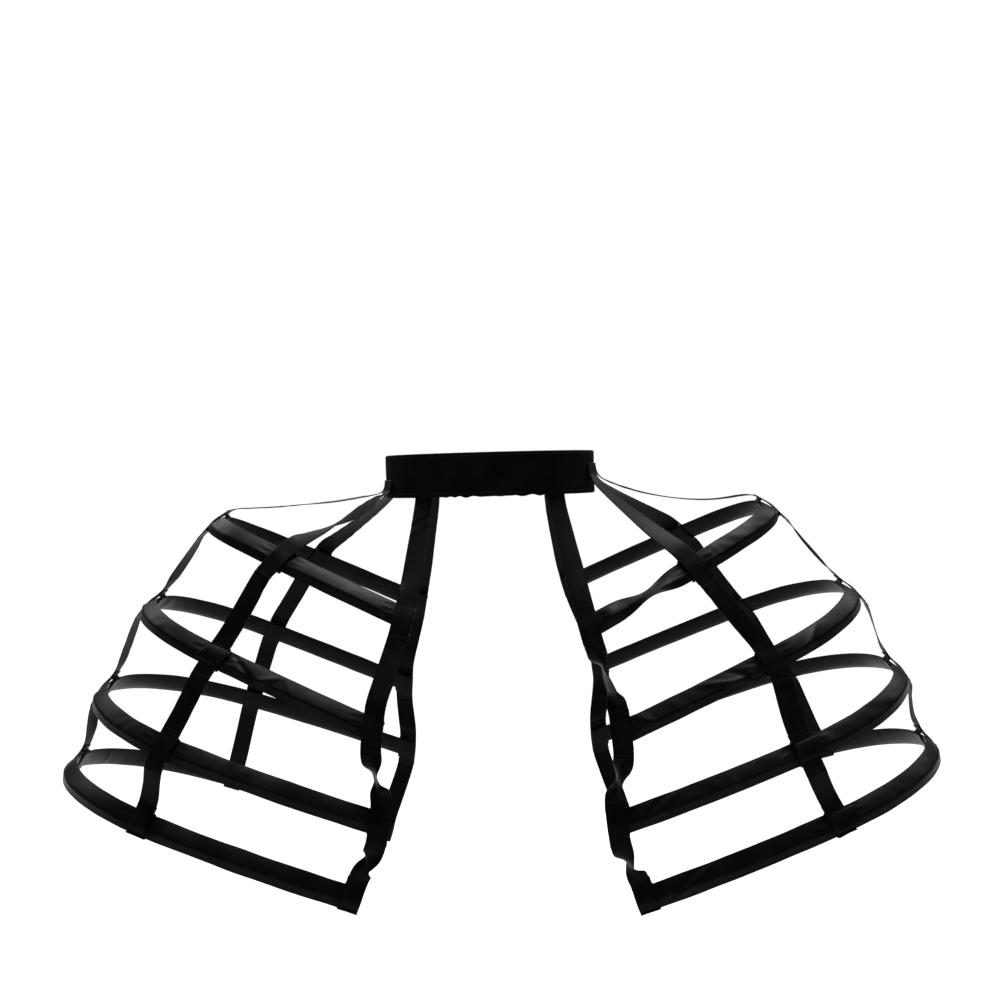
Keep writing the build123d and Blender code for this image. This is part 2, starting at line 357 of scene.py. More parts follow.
# the colour where it is clean and where it is worn, and how the marks are drawn out
blackThread = {
    "base": grey(0.006),
    "worn": grey(0.003),
    "metallic": 0,
    "roughness": 0.55,
    "specular": 0.08,
    "streaks": (60, 60, 60),
}
whitePlastic = {
    "base": (0.76, 0.76, 0.72, 1),
    "worn": (0.66, 0.65, 0.6, 1),
    "metallic": 0,
    "roughness": 0.38,
    "specular": 0.5,
    "streaks": (1, 1, 1),
}
brushedSteel = {
    "base": (0.56, 0.56, 0.57, 1),
    "worn": (0.42, 0.42, 0.43, 1),
    "metallic": 1,
    "roughness": 0.3,
    "specular": 0.5,
    "streaks": (1, 9, 9),
}

casingSatin = clothMaterial("casing satin", satin)
tapeSatin = clothMaterial("tape satin", tapeLustre)
bandFabric = clothMaterial("band fabric", plainWeave)
threadBlack = hardMaterial("black thread", blackThread)
boneWhite = hardMaterial("bone white", whitePlastic)
tipSteel = hardMaterial("tip steel", brushedSteel)
for nodeName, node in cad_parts.items():
    if "_bone_" in nodeName:
        for entry in node.material_slots:
            entry.material = tipSteel if "_tips_" in nodeName else boneWhite
print("materials made")


# a row of stitches: one thread that dips in and out of the cloth along line(share)
thread = {
    "radius": 0.26 * mm,
    "pitch": 3.2 * mm,
    "above": 0.12 * mm,
    "dip": 0.5 * mm,
    "stepsPerStitch": 6,
    "roundCount": 6,
}


def stitchRow(line, length):
    stitches = max(round(length / thread["pitch"]), 2)
    steps = stitches * thread["stepsPerStitch"]

    def place(u, v):
        point, normal, across = line(u)
        lift = thread["above"] + thread["dip"] * (abs(cos(pi * stitches * u)) ** 0.5 - 1)
        radius = thread["radius"] * min(1, (0.5 - abs(u - 0.5)) * steps)  # a point at each end
        angle = 2 * pi * v
        return point + normal * (lift + radius * sin(angle)) + across * radius * cos(angle)

    return wrapGrid(steps, thread["roundCount"], place, (length, 2 * pi * thread["radius"]))


def joinMeshes(meshes):
    whole = bmesh.new()
    for mesh in meshes:
        data = bpy.data.meshes.new("part")
        mesh.to_mesh(data)
        mesh.free()
        whole.from_mesh(data)
        bpy.data.meshes.remove(data)
    return whole


# the tapes' crossings as the frame has them
tape = {
    "width": 22 * mm,
    "thick": 0.8 * mm,
    "keeperThick": 0.8 * mm,
    "keeperTab": 8 * mm,
    "sewnGap": 0.3 * mm,
    "gap": 6 * mm,
    "outerTop": {"left": 10 * mm, "right": -4 * mm},
    "outerTab": 15 * mm,
    "innerTop": 5 * mm,
    "innerRound": 88 * mm,
    "edgeClear": 3 * mm,
    "endInset": 9 * mm,
    "bendClear": 2 * mm,
}

crossings = {
    "left": {
        "front_outer": [0.226, 0.234, 0.233, 0.233],
        "side": [0.5, 0.5, 0.5, 0.5],
        "back_outer": [0.74, 0.74, 0.715, 0.7],
    },
    "right": {
        "front_outer": [0.26, 0.252, 0.268, 0.254],
        "side": [0.5, 0.5, 0.5, 0.5],
        "back_outer": [0.763, 0.757, 0.758, 0.767],
    },
}
for side in sides:
    insets = [tape["endInset"] / arcs["length"] for arcs in hoopArcs]
    crossings[side]["front_inner"] = insets
    crossings[side]["back_inner"] = [1 - inset for inset in insets]


# casings: bias satin tubes, pressed flat under the tapes and full between them
casing = {
    "width": 25 * mm,
    "thick": 5 * mm,
    "fullOut": 5.2 * mm,
    "fullIn": 3.2 * mm,
    "pressedOut": 3.4 * mm,
    "pressedIn": 2.4 * mm,
    "ridge": -0.36,
    "crisp": 0.75,
    "swell": 2.2,
    "leastSwell": 0.5 * mm,
    "step": 2.4 * mm,
    "roundCount": 36,
    "seamRoom": 4 * mm,
    "fillsFrom": 1 * mm,
    "fillsBy": 17 * mm,
    "pucker": 0.6 * mm,
    "puckerAt": 7 * mm,
    "puckerReach": 8 * mm,
    "drag": 0.22 * mm,
    "dragLength": 33 * mm,
    "uneven": {"full": 0.22, "width": 0.025},
    "endRound": 2.5 * mm,
    "endNarrow": 0.6 * mm,
    "rollNarrow": 0.12,
    "stitchAt": -0.8,
    "stitchDent": 0.3 * mm,
    "stitchEnds": 0.004,
    "endStitchIn": 4.5 * mm,
    "endStitchHigh": 0.78,
    "endStitchLong": 20 * mm,
    "seeds": {"left": 5, "right": 11},
}

# how quickly each unevenness changes along a casing
casingPace = {"full": 23, "waves": 14, "drag": 17, "fan": 30, "width": 31}

# small creases all along a casing, at most this slanted and deep
smallCreases = {"count": 14, "stray": 0.45, "slant": 16 * mm, "depth": 0.75 * mm, "reach": (3, 7)}

# where a casing rolls over between two tapes
rolls = {("left", 0): [{"at": 0.13, "turn": 54, "reach": 0.045}]}

# creases: share of the way round, slant from the lower to the upper edge, depth and reach
creases = {
    ("right", 1): [
        {"at": 0.205, "slant": 22 * mm, "depth": -1.6 * mm, "reach": 4 * mm},
        {"at": 0.17, "slant": -16 * mm, "depth": 1.3 * mm, "reach": 5 * mm},
    ],
    ("left", 0): [{"at": 0.05, "slant": 3 * mm, "depth": 2 * mm, "reach": 10 * mm}],
    ("left", 1): [
        {"at": 0.05, "slant": -9 * mm, "depth": 1.5 * mm, "reach": 6 * mm},
        {"at": 0.19, "slant": -14 * mm, "depth": -1.3 * mm, "reach": 5 * mm},
        {"at": 0.165, "slant": -30 * mm, "depth": 1.5 * mm, "reach": 7 * mm},
        {"at": 0.3, "slant": 18 * mm, "depth": 1.2 * mm, "reach": 6 * mm},
    ],
    ("left", 2): [
        {"at": 0.045, "slant": 24 * mm, "depth": -1.6 * mm, "reach": 4 * mm},
        {"at": 0.06, "slant": 24 * mm, "depth": 1.6 * mm, "reach": 7 * mm},
    ],
    ("left", 3): [
        {"at": 0.05, "slant": 26 * mm, "depth": -1.6 * mm, "reach": 4 * mm},
        {"at": 0.065, "slant": 26 * mm, "depth": 1.8 * mm, "reach": 7 * mm},
    ],
}


# the hoop's frame with any roll, and how far rolled it is
def rolledFrame(side, level, share):
    origin, onward, up, out = hoopFrame(side, level, share)
    rolled = 0.0
    for roll in rolls.get((side, level), []):
        amount = hill(share - roll["at"], roll["reach"])
        spin = Matrix.Rotation(radians(-roll["turn"]) * amount * sides[side], 3, onward)
        up, out = spin @ up, spin @ out
        rolled = max(rolled, amount)
    return origin, up, out, rolled


def casingSurface(side, level):
    length = hoopArcs[level]["length"]
    seed = level + casing["seeds"][side]
    tapesAt = [crossings[side][name][level] * length for name in crossings[side]]
    ownCreases = list(creases.get((side, level), []))
    count = smallCreases["count"]
    for number in range(count):
        stray = smallCreases["stray"] * drift(number * 1.7, seed)
        ownCreases.append({
            "at": (number + 0.5 + stray) / count,
            "slant": smallCreases["slant"] * drift(number * 2.3 + 9, seed),
            "depth": smallCreases["depth"] * drift(number * 3.1 + 4, seed),
            "reach": lerp(*smallCreases["reach"], abs(drift(number * 1.3 + 2, seed))) * mm,
        })

    def place(share, height, outside, lift=0.0):
        along = share * length
        origin, up, out, rolled = rolledFrame(side, level, share)
        pressed, nearEdge = 0.0, 0.0
        for middle in tapesAt:
            beside = abs(along - middle) - tape["width"] / 2
            filled = smoothStep(casing["fillsFrom"], casing["fillsBy"], beside)
            pressed = max(pressed, 1 - filled)
            nearEdge = max(nearEdge, hill(beside - casing["puckerAt"], casing["puckerReach"]))
        fullness = 1 + casing["uneven"]["full"] * drift(along * casingPace["full"], seed)
        full = casing["fullOut"] if outside > 0 else casing["fullIn"]
        flat = casing["pressedOut"] if outside > 0 else casing["pressedIn"]
        crown = lerp(full * fullness, flat, pressed)
        lean = height - casing["ridge"]
        tent = 1 - abs(lean) / (1 + casing["ridge"] * (1 if lean < 0 else -1))
        swell = 1 - abs(height) ** casing["swell"]
        depth = crown * (lerp(swell, tent, casing["crisp"]) if outside > 0 else swell)
        soft = 1 - pressed
        waves = along / casing["dragLength"] + 0.45 * height
        waves += 1.3 * drift(along * casingPace["waves"], seed)
        drag = casing["drag"] * max(0, drift(along * casingPace["drag"], seed + 2) + 0.35)
        depth += drag * soft * swell * sin(2 * pi * waves)
        fan = sin(2 * pi * (1.6 * height + 0.8 * drift(along * casingPace["fan"], seed)))
        depth += casing["pucker"] * soft ** 0.5 * nearEdge * swell * fan
        for crease in ownCreases:
            beside = along - crease["at"] * length - crease["slant"] * height
            depth += crease["depth"] * soft * swell * hill(beside, crease["reach"])
        if outside > 0:
            depth -= casing["stitchDent"] * hill(height - casing["stitchAt"], 0.05) * soft
        fromEnd = min(along, length - along)
        closing = sqrt(max(0, 1 - (1 - min(fromEnd / casing["endRound"], 1)) ** 2))
        uneven = casing["uneven"]["width"] * drift(along * casingPace["width"], seed + 4)
        halfWidth = casing["width"] / 2 * (1 + uneven * soft)
        halfWidth -= casing["endNarrow"] * (1 - closing)
        halfWidth *= 1 - casing["rollNarrow"] * rolled
        depth = max(depth, casing["leastSwell"] * swell) * closing
        return origin + up * halfWidth * height + out * outside * (depth + lift), out * outside, up

    return place


def makeCasing(side, level):
    length = hoopArcs[level]["length"]
    surface = casingSurface(side, level)

    def place(u, v):
        angle = 2 * pi * v
        return surface(u, cos(angle), 1 if v <= 0.5 else -1)[0]

    girth = 2 * casing["width"] + casing["seamRoom"]
    count = round(length / casing["step"])
    mesh = wrapGrid(count, casing["roundCount"], place, (length, girth))
    name = f"{side}_casing_{level + 1}_satin"
    piece = addPiece(name, mesh, casingSatin)
    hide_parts(f"{side}_casing_{level + 1}")

    def edgeLine(u):
        share = lerp(casing["stitchEnds"], 1 - casing["stitchEnds"], u)
        return surface(share, casing["stitchAt"], 1)

    def endLine(share):
        def line(u):
            height = lerp(-casing["endStitchHigh"], casing["endStitchHigh"], u)
            point, normal, up = surface(share, height, 1)
            return point, normal, hoopFrame(side, level, share)[1]
        return line

    inset = casing["endStitchIn"] / length
    rows = [stitchRow(edgeLine, length)]
    for share in (inset, 1 - inset):
        rows.append(stitchRow(endLine(share), casing["endStitchLong"]))
    stitching = addPiece(name + "_stitching", joinMeshes(rows), threadBlack)


# a bone that rolls over with its casing, a flat strip with eased edges
bone = {
    "width": 12 * mm,
    "thick": 1.4 * mm,
    "setBack": 10 * mm,
    "edgeEase": 0.12,
    "step": 4 * mm,
}


def makeRolledBone(side, level):
    length = hoopArcs[level]["length"]
    start = bone["setBack"] / length
    outline = bmesh.new()
    bmesh.ops.create_grid(outline, x_segments=1, y_segments=1, size=0.5)
    bmesh.ops.bevel(outline, geom=list(outline.verts), affect="VERTICES", segments=2, profile=0.5,
                    offset=bone["edgeEase"], material=-1)
    ring = sorted((vertex.co.copy() for vertex in outline.verts), key=lambda co: atan2(co.y, co.x))
    outline.free()

    def place(u, v):
        origin, up, out, rolled = rolledFrame(side, level, lerp(start, 1 - start, u))
        corner = ring[round(v * len(ring)) % len(ring)]
        return origin + up * corner.x * bone["width"] + out * corner.y * bone["thick"]

    count = round(length / bone["step"])
    mesh = wrapGrid(count, len(ring), place, (length, 2 * bone["width"]))
    bmesh.ops.holes_fill(mesh, edges=mesh.edges, sides=0)
    bmesh.ops.recalc_face_normals(mesh, faces=mesh.faces)
    piece = addPiece(f"{side}_bone_{level + 1}_strip", mesh, boneWhite)
    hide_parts(f"{side}_bone_{level + 1}")


for side in sides:
    for level in levels:
        makeCasing(side, level)
for side, level in rolls:
    makeRolledBone(side, level)
print("casings made")


# the band's middle line at an arc length from the wearer's side towards the back
def waistFrame(sign, around):
    halfWidth, halfDepth = band["width"] / 2, band["depth"] / 2
    step = 0.25 * mm
    angle, travelled, stretch = 0.0, 0.0, halfDepth
    while travelled < abs(around):
        travelled += step
        angle += step / stretch
        stretch = hypot(halfWidth * sin(angle), halfDepth * cos(angle))
    angle = angle if around > 0 else -angle
    out = Vector((sign * cos(angle) / halfWidth, sin(angle) / halfDepth, 0)).normalized()
    point = Vector((sign * halfWidth * cos(angle), halfDepth * sin(angle), 0))
    return point, Vector((0, 0, 1)).cross(out), out, stretch ** 3 / (halfWidth * halfDepth)


# the two ends of a tape's tab on the band, and its direction across
def waistTab(side, name):
    sign = sides[side]
    towards = -1 if name.startswith("front") else 1
    sewn = tape["sewnGap"] + tape["thick"] / 2
    if name.endswith("inner"):
        point, across, out, radius = waistFrame(sign, towards * tape["innerRound"])
        away = -band["thick"] / 2 - sewn - (tape["width"] / 2) ** 2 / 2 / radius
        heights = (tape["innerTop"], -band["height"] / 2 - tape["edgeClear"])
    else:
        spacing = 0 if name == "side" else towards * (tape["width"] + tape["gap"])
        point, across, out, radius = waistFrame(sign, spacing)
        away = band["thick"] / 2 + sewn
        top = tape["outerTop"][side]
        heights = (top, top - tape["outerTab"])
    ends = [point + out * away + Vector((0, 0, height)) for height in heights]
    return ends, across


# where a tape crosses each hoop: the hoop's own directions, the tape's, and the keeper's reach
def crossingFrames(side, name):
    hoops = [hoopFrame(side, level, crossings[side][name][level]) for level in levels]
    points = [waistTab(side, name)[0][1]] + [found[0] for found in hoops]
    frames = []
    for level, (origin, onward, hoopUp, out) in enumerate(hoops):
        rises = [points[level] - origin]
        if level < levels[-1]:
            rises.append(origin - hoops[level + 1][0])
        up = Vector((0, 0, 0))
        for rise in rises:
            up += (rise - out * rise.dot(out)).normalized()
        up.normalize()
        across = up.cross(out)
        skew = abs(across.dot(hoopUp))
        skew = atan2(skew, sqrt(1 - skew ** 2))
        halfSpread = tape["width"] / 2 / cos(skew) + casing["width"] / 2 * sin(skew) / cos(skew)
        slack = tape["sewnGap"] + halfSpread ** 2 / 2 / hoopSizes[level]["tipRadius"]
        tab = casing["width"] / 2 + tape["keeperTab"]
        reach = tab / cos(skew) + tape["width"] / 2 * sin(skew) / cos(skew) + tape["bendClear"]
        frames.append({"origin": origin, "hoopUp": hoopUp, "up": up, "out": out, "across": across,
                       "skew": skew, "slack": slack, "reach": reach})
    return frames


# how each tape hangs: sag of its spans, and turns and folds by span from the band down, with
# their share of the span, angle or depth, and reach in metres
sideTurns = [{"span": span, "at": 0.5, "turn": 11, "reach": 50 * mm} for span in (1, 2, 3)]
tapeLooks = {
    "right_tape_front_inner": {
        "sag": [1, 1, 2, 2],
        "turns": [
            {"span": 2, "at": 0.45, "turn": 70, "reach": 26 * mm},
            {"span": 3, "at": 0.5, "turn": 64, "reach": 55 * mm},
        ],
        "folds": [
            {"span": 3, "at": 0.4, "depth": 2 * mm, "slant": 0.7, "reach": 5 * mm},
            {"span": 1, "at": 0.2, "depth": 1.2 * mm, "slant": 0.5, "reach": 7 * mm},
        ],
    },
    "left_tape_front_inner": {
        "sag": [1, 2, 1, 3],
        "turns": [
            {"span": 1, "at": 0.16, "turn": 50, "reach": 18 * mm},
            {"span": 1, "at": 0.6, "turn": 62, "reach": 46 * mm},
            {"span": 2, "at": 0.5, "turn": 62, "reach": 60 * mm},
            {"span": 3, "at": 0.5, "turn": 64, "reach": 60 * mm},
        ],
        "folds": [{"span": 2, "at": 0.3, "depth": 1.5 * mm, "slant": -0.6, "reach": 6 * mm}],
    },
    "right_tape_front_outer": {
        "sag": [3, 1, 1, 1],
        "turns": [{"span": 0, "at": 0.3, "turn": 55, "reach": 50 * mm}],
        "folds": [{"span": 1, "at": 0.12, "depth": 1.4 * mm, "slant": 0.6, "reach": 5 * mm}],
    },
    "left_tape_front_outer": {
        "sag": [4, 1, 1, 1],
        "turns": [],
        "folds": [
            {"span": 0, "at": 0.04, "depth": 1.6 * mm, "slant": 0.4, "reach": 4 * mm},
            {"span": 1, "at": 0.1, "depth": 1.4 * mm, "slant": -0.6, "reach": 5 * mm},
        ],
    },
    "left_tape_side": {"sag": [16, 1, 1, 1], "turns": sideTurns, "folds": []},
    "right_tape_side": {"sag": [4, 1, 1, 1], "turns": sideTurns, "folds": []},
}
plainHang = {"sag": [3, 1, 1, 1], "turns": [], "folds": []}
ribbon = {
    "step": 1.5 * mm,
    "acrossCount": 14,
    "soften": 60,
    "loosensBy": 21 * mm,
    "sway": 7,
    "cup": 0.9 * mm,
    "ripple": 0.35 * mm,
    "rippleLength": 21 * mm,
    "overHoop": 1.6 * mm,
    "overReach": 11 * mm,
    "ridge": 0.5 * mm,
    "ridgeReach": 1.6 * mm,
    "hemAt": 27 * mm,
    "tuck": 3.6 * mm,
    "tuckReach": 11 * mm,
    "uneven": 0.02,
    "pace": {"sway": 11, "cup": 16, "waves": 20, "ripple": 13, "width": 25},
    "stitchIn": 3 * mm,
    "outerStitchIn": 4 * mm,
    "tabRows": 6 * mm,
    "stitchWide": 0.84,
    "seeds": {"left": 3, "right": 8},
}


def softened(values):
    inner = [(before + value * 2 + after) / 4
             for before, value, after in zip(values, values[1:], values[2:])]
    return [values[0]] + inner + [values[-1]]


# points every step along a tape, softened at its bends, with the direction across it
def tapeRun(side, name, looks):
    tab, across = waistTab(side, name)
    stations = [(tab[0], across), (tab[1], across)]
    off = casing["thick"] / 2 + tape["sewnGap"] + tape["thick"] / 2
    marks = []
    for level, crossing in enumerate(crossingFrames(side, name)):
        below = crossing["reach"]
        if level == levels[-1]:
            below = casing["width"] / 2 + crossing["slack"] + tape["keeperThick"]
            below /= cos(crossing["skew"])
        for height in (crossing["reach"], 0, -below):
            point = crossing["origin"] + crossing["up"] * height + crossing["out"] * off
            stations.append((point, crossing["across"]))
    points, acrosses, alongs, spans = [], [], [], []
    travelled = 0.0
    for number, ((start, startAcross), (stop, stopAcross)) in enumerate(zip(stations, stations[1:])):
        length = (stop - start).length
        count = max(round(length / ribbon["step"]), 1)
        free = number % 3 == 1
        sag = looks["sag"][number // 3] * mm if free else 0
        if free:
            spans.append((travelled, length))
        for piece in range(count):
            share = piece / count
            drop = Vector((0, 0, -4 * sag * share * (1 - share)))
            points.append(start.lerp(stop, share) + drop)
            acrosses.append(startAcross.lerp(stopAcross, share).normalized())
            alongs.append(travelled + share * length)
        if number % 3 == 2:
            marks.append(travelled + length)
        travelled += length
    points.append(stations[-1][0])
    acrosses.append(stations[-1][1])
    alongs.append(travelled)
    count = round(travelled / ribbon["step"])
    evenPoints, evenAcrosses, number = [], [], 0
    for even in range(count + 1):
        along = min(even * travelled / count, travelled)
        while number < len(alongs) - 2 and alongs[number + 1] < along:
            number += 1
        part = (along - alongs[number]) / (alongs[number + 1] - alongs[number])
        evenPoints.append(points[number].lerp(points[number + 1], part))
        evenAcrosses.append(acrosses[number].lerp(acrosses[number + 1], part))
    for _ in range(ribbon["soften"]):
        evenPoints = softened(evenPoints)
        evenAcrosses = [across.normalized() for across in softened(evenAcrosses)]
    return evenPoints, evenAcrosses, spans, marks, travelled


def tapeSurface(side, name):
    node = f"{side}_tape_{name}"
    looks = tapeLooks.get(node, plainHang)
    points, acrosses, spans, marks, length = tapeRun(side, name, looks)
    seed = len(node) * 1.37 + ribbon["seeds"][side] + len(name)
    pace = ribbon["pace"]
    turns = []
    for turn in looks["turns"]:
        start, span = spans[turn["span"]]
        turns.append((start + turn["at"] * span, radians(turn["turn"]), turn["reach"]))
    folds = []
    for fold in looks["folds"]:
        start, span = spans[fold["span"]]
        folds.append((start + fold["at"] * span, fold["depth"], fold["slant"], fold["reach"]))

    def loose(along):
        for start, span in spans:
            if start < along < start + span:
                return smoothStep(0, ribbon["loosensBy"], min(along - start, start + span - along))
        return 0

    def place(share, beside, lift=0.0):
        spot = share * (len(points) - 1)
        number = min(int(spot), len(points) - 2)
        part = spot - number
        point = points[number].lerp(points[number + 1], part)
        across = acrosses[number].lerp(acrosses[number + 1], part)
        before, after = points[max(number - 1, 0)], points[min(number + 2, len(points) - 1)]
        onward = (after - before).normalized()
        normal = onward.cross(across).normalized()
        across = normal.cross(onward)
        along = share * length
        free = loose(along)
        turned = sum(angle * hill(along - at, reach) for at, angle, reach in turns) * free
        turned += radians(ribbon["sway"]) * drift(along * pace["sway"], seed) * free
        spin = Matrix.Rotation(turned, 3, onward)
        across, normal = spin @ across, spin @ normal
        cup = ribbon["cup"] * (0.5 + drift(along * pace["cup"], seed + 3))
        depth = -cup * free * beside ** 2
        for mark in marks:
            depth += ribbon["overHoop"] * hill(along - mark, ribbon["overReach"])
        waves = along / ribbon["rippleLength"] + 0.5 * beside + drift(along * pace["waves"], seed)
        size = ribbon["ripple"] * max(0, drift(along * pace["ripple"], seed + 5))
        depth += size * free * sin(2 * pi * waves)
        for at, deep, slant, reach in folds:
            offset = along - at - slant * beside * tape["width"] / 2
            depth += deep * hill(offset, reach) * free
        for mark in marks[:-1]:
            depth += ribbon["ridge"] * hill(along - mark - ribbon["hemAt"], ribbon["ridgeReach"])
        depth -= ribbon["tuck"] * smoothStep(length - ribbon["tuckReach"], length, along)
        uneven = 1 + ribbon["uneven"] * drift(along * pace["width"], seed + 6)
        point = point + across * beside * uneven * tape["width"] / 2
        return point + normal * (depth + lift), normal, across

    return place, length, spans, marks


def makeTape(side, name):
    node = f"{side}_tape_{name}"
    surface, length, spans, marks = tapeSurface(side, name)

    def place(u, v):
        return surface(u, 2 * v - 1)[0]

    size = (length, tape["width"])
    mesh = wrapGrid(round(length / ribbon["step"]), ribbon["acrossCount"], place, size)
    piece = addPiece(node + "_ribbon", mesh, tapeSatin)
    thicken(piece, tape["thick"])
    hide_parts(node)

    def rowAt(along):
        def line(u):
            beside = lerp(-ribbon["stitchWide"], ribbon["stitchWide"], u)
            point, normal, across = surface(along / length, beside, tape["thick"] / 2)
            return point, normal, across.cross(normal)
        return line

    inset = ribbon["stitchIn"]
    top = inset if name.endswith("inner") else ribbon["outerStitchIn"]
    places = [top, top + ribbon["tabRows"]]
    places += [mark + ribbon["hemAt"] - inset for mark in marks[:-1]]
    places += [start + span + inset for start, span in spans]
    places.append(length - inset)
    width = tape["width"] * ribbon["stitchWide"]
    sewn = joinMeshes([stitchRow(rowAt(along), width) for along in places])
    stitching = addPiece(node + "_stitching", sewn, threadBlack)


# keepers: a strap behind each hoop, sewn to the tape above it and below it
keeper = {"bow": 0.6 * mm, "step": 0.8 * mm, "soften": 3, "acrossCount": 10}


def makeKeepers(side, name):
    straps, total = [], 0.0
    for level, crossing in enumerate(crossingFrames(side, name)):
        tapeBack = casing["thick"] / 2 + tape["sewnGap"] - tape["keeperThick"] / 2
        tab = casing["width"] / 2 + tape["keeperTab"]
        insideY = casing["width"] / 2 + crossing["slack"] + tape["keeperThick"] / 2
        insideZ = -casing["thick"] / 2 - crossing["slack"] - tape["keeperThick"] / 2
        outline = [(tab, tapeBack), (insideY, tapeBack), (insideY, insideZ),
                   (0, insideZ - keeper["bow"]), (-insideY, insideZ), (-insideY, tapeBack)]
        if level < levels[-1]:
            outline.append((-tab, tapeBack))
        path = []
        for (y, z), (nextY, nextZ) in zip(outline, outline[1:]):
            count = max(round(hypot(nextY - y, nextZ - z) / keeper["step"]), 1)
            path += [(lerp(y, nextY, part / count), lerp(z, nextZ, part / count))
                     for part in range(count)]
        path.append(outline[-1])
        for _ in range(keeper["soften"]):
            path = list(zip(*[softened(values) for values in zip(*path)]))
        length = sum(hypot(b[0] - a[0], b[1] - a[1]) for a, b in zip(path, path[1:]))
        length /= cos(crossing["skew"])
        total += length

        def place(u, v):
            spot = u * (len(path) - 1)
            number = min(int(spot), len(path) - 2)
            y = lerp(path[number][0], path[number + 1][0], spot - number)
            z = lerp(path[number][1], path[number + 1][1], spot - number)
            beside = (2 * v - 1) * tape["width"] / 2
            up, across, hoopUp = crossing["up"], crossing["across"], crossing["hoopUp"]
            height = (y - across.dot(hoopUp) * beside) / up.dot(hoopUp)
            return crossing["origin"] + up * height + across * beside + crossing["out"] * z

        size = (length, tape["width"])
        straps.append(wrapGrid(len(path), keeper["acrossCount"], place, size))
    node = f"{side}_keepers_{name}"
    piece = addPiece(node + "_straps", joinMeshes(straps), tapeSatin)
    thicken(piece, tape["keeperThick"])
    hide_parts(node)


# satin patches sewn over a tape where it crosses a hoop
patches = [
    {"side": "left", "level": 2, "wide": 28 * mm, "high": 20 * mm, "aside": 4 * mm, "slant": 0.15},
    {"side": "left", "level": 3, "wide": 28 * mm, "high": 20 * mm, "aside": 5 * mm, "slant": 0.1},
    {"side": "right", "level": 1, "wide": 27 * mm, "high": 21 * mm, "aside": 1 * mm, "slant": -0.4},
]


patchCloth = {
    "thick": 0.7 * mm,
    "proud": 0.7 * mm,
    "fall": 0.34,
    "fallReach": 10 * mm,
    "curl": 0.5 * mm,
    "acrossCount": 20,
    "highCount": 16,
    "stitchAt": 0.86,
}


def makePatch(patch):
    side, level = patch["side"], patch["level"]
    length = hoopArcs[level]["length"]
    middle = crossings[side]["front_outer"][level] * length + patch["aside"]
    proud = casing["thick"] / 2 + tape["sewnGap"] + tape["thick"] + ribbon["overHoop"]

    def surface(beside, height, lift=0.0):
        y = height * patch["high"] / 2
        along = middle + beside * patch["wide"] / 2 + patch["slant"] * y
        origin, onward, up, out = hoopFrame(side, level, along / length)
        rise = proud * (1 - patchCloth["fall"] * (y / patchCloth["fallReach"]) ** 2)
        rise += patchCloth["proud"] - patchCloth["curl"] * abs(beside) ** 6
        return origin + up * y + out * (rise + lift), out, up, onward

    def place(u, v):
        return surface(2 * u - 1, 2 * v - 1)[0]

    counts = (patchCloth["acrossCount"], patchCloth["highCount"])
    mesh = wrapGrid(*counts, place, (patch["wide"], patch["high"]))
    name = f"{side}_patch_{level + 1}"
    piece = addPiece(name, mesh, casingSatin)
    thicken(piece, patchCloth["thick"])
    inset = patchCloth["stitchAt"]

    def edge(vertical, at):
        def line(u):
            reach = lerp(-inset, inset, u)
            beside, height = (at, reach) if vertical else (reach, at)
            point, out, up, onward = surface(beside, height, patchCloth["thick"] / 2)
            return point, out, onward if vertical else up
        return line

    rows = [stitchRow(edge(True, at), patch["high"] * inset) for at in (-inset, inset)]
    rows += [stitchRow(edge(False, at), patch["wide"] * inset) for at in (-inset, inset)]
    stitching = addPiece(name + "_stitching", joinMeshes(rows), threadBlack)


for side in sides:
    for name in crossings[side]:
        makeTape(side, name)
        makeKeepers(side, name)
for patch in patches:
    makePatch(patch)
print("tapes and keepers made")


# waistband: a woven band sewn to an oval, gathered a little along its lower edge
waistband = {
    "aroundCount": 460,
    "sectionCount": 88,
    "rim": 1.6 * mm,
    "wave": 0.5 * mm,
    "uneven": 0.25 * mm,
    "pace": {"folds": 20.9, "wave": 3.1, "uneven": 8, "drop": 14.3},
    "meeting": 0.4,
    "gathers": [{"at": -107, "reach": 17}, {"at": -67, "reach": 16}, {"at": 95, "reach": 40}],
    "gatherDepth": 1.3 * mm,
    "gatherDrop": 1.6 * mm,
    "stitchRows": [21.5 * mm, -20.5 * mm],
    "seamAt": -118,
    "seamLow": -23 * mm,
    "seamHigh": -6 * mm,
}

# the end that laps over at the back
lap = {
    "at": 90,
    "wide": 34 * mm,
    "thick": 1.4 * mm,
    "shy": 1 * mm,
    "proud": 0.9 * mm,
    "curl": 0.5 * mm,
    "stitchLift": 1.7 * mm,
    "stitchAt": 0.82,
    "stitchHigh": 0.9,
    "stitchLong": 44 * mm,
    "highCount": 40,
    "acrossCount": 30,
}


def gathered(angle):
    amount = 0.0
    for gather in waistband["gathers"]:
        apart = (degrees(angle) - gather["at"] + 180) % 360 - 180
        amount = max(amount, hill(apart, gather["reach"]))
    return amount


# unevenness round the waist that meets itself at the wearer's left side
def roundDrift(angle, pace, seed, offset=0.0):
    meeting = smoothStep(2 * pi - waistband["meeting"], 2 * pi, angle)
    here = drift(angle * pace + offset, seed)
    return lerp(here, drift((angle - 2 * pi) * pace + offset, seed), meeting)


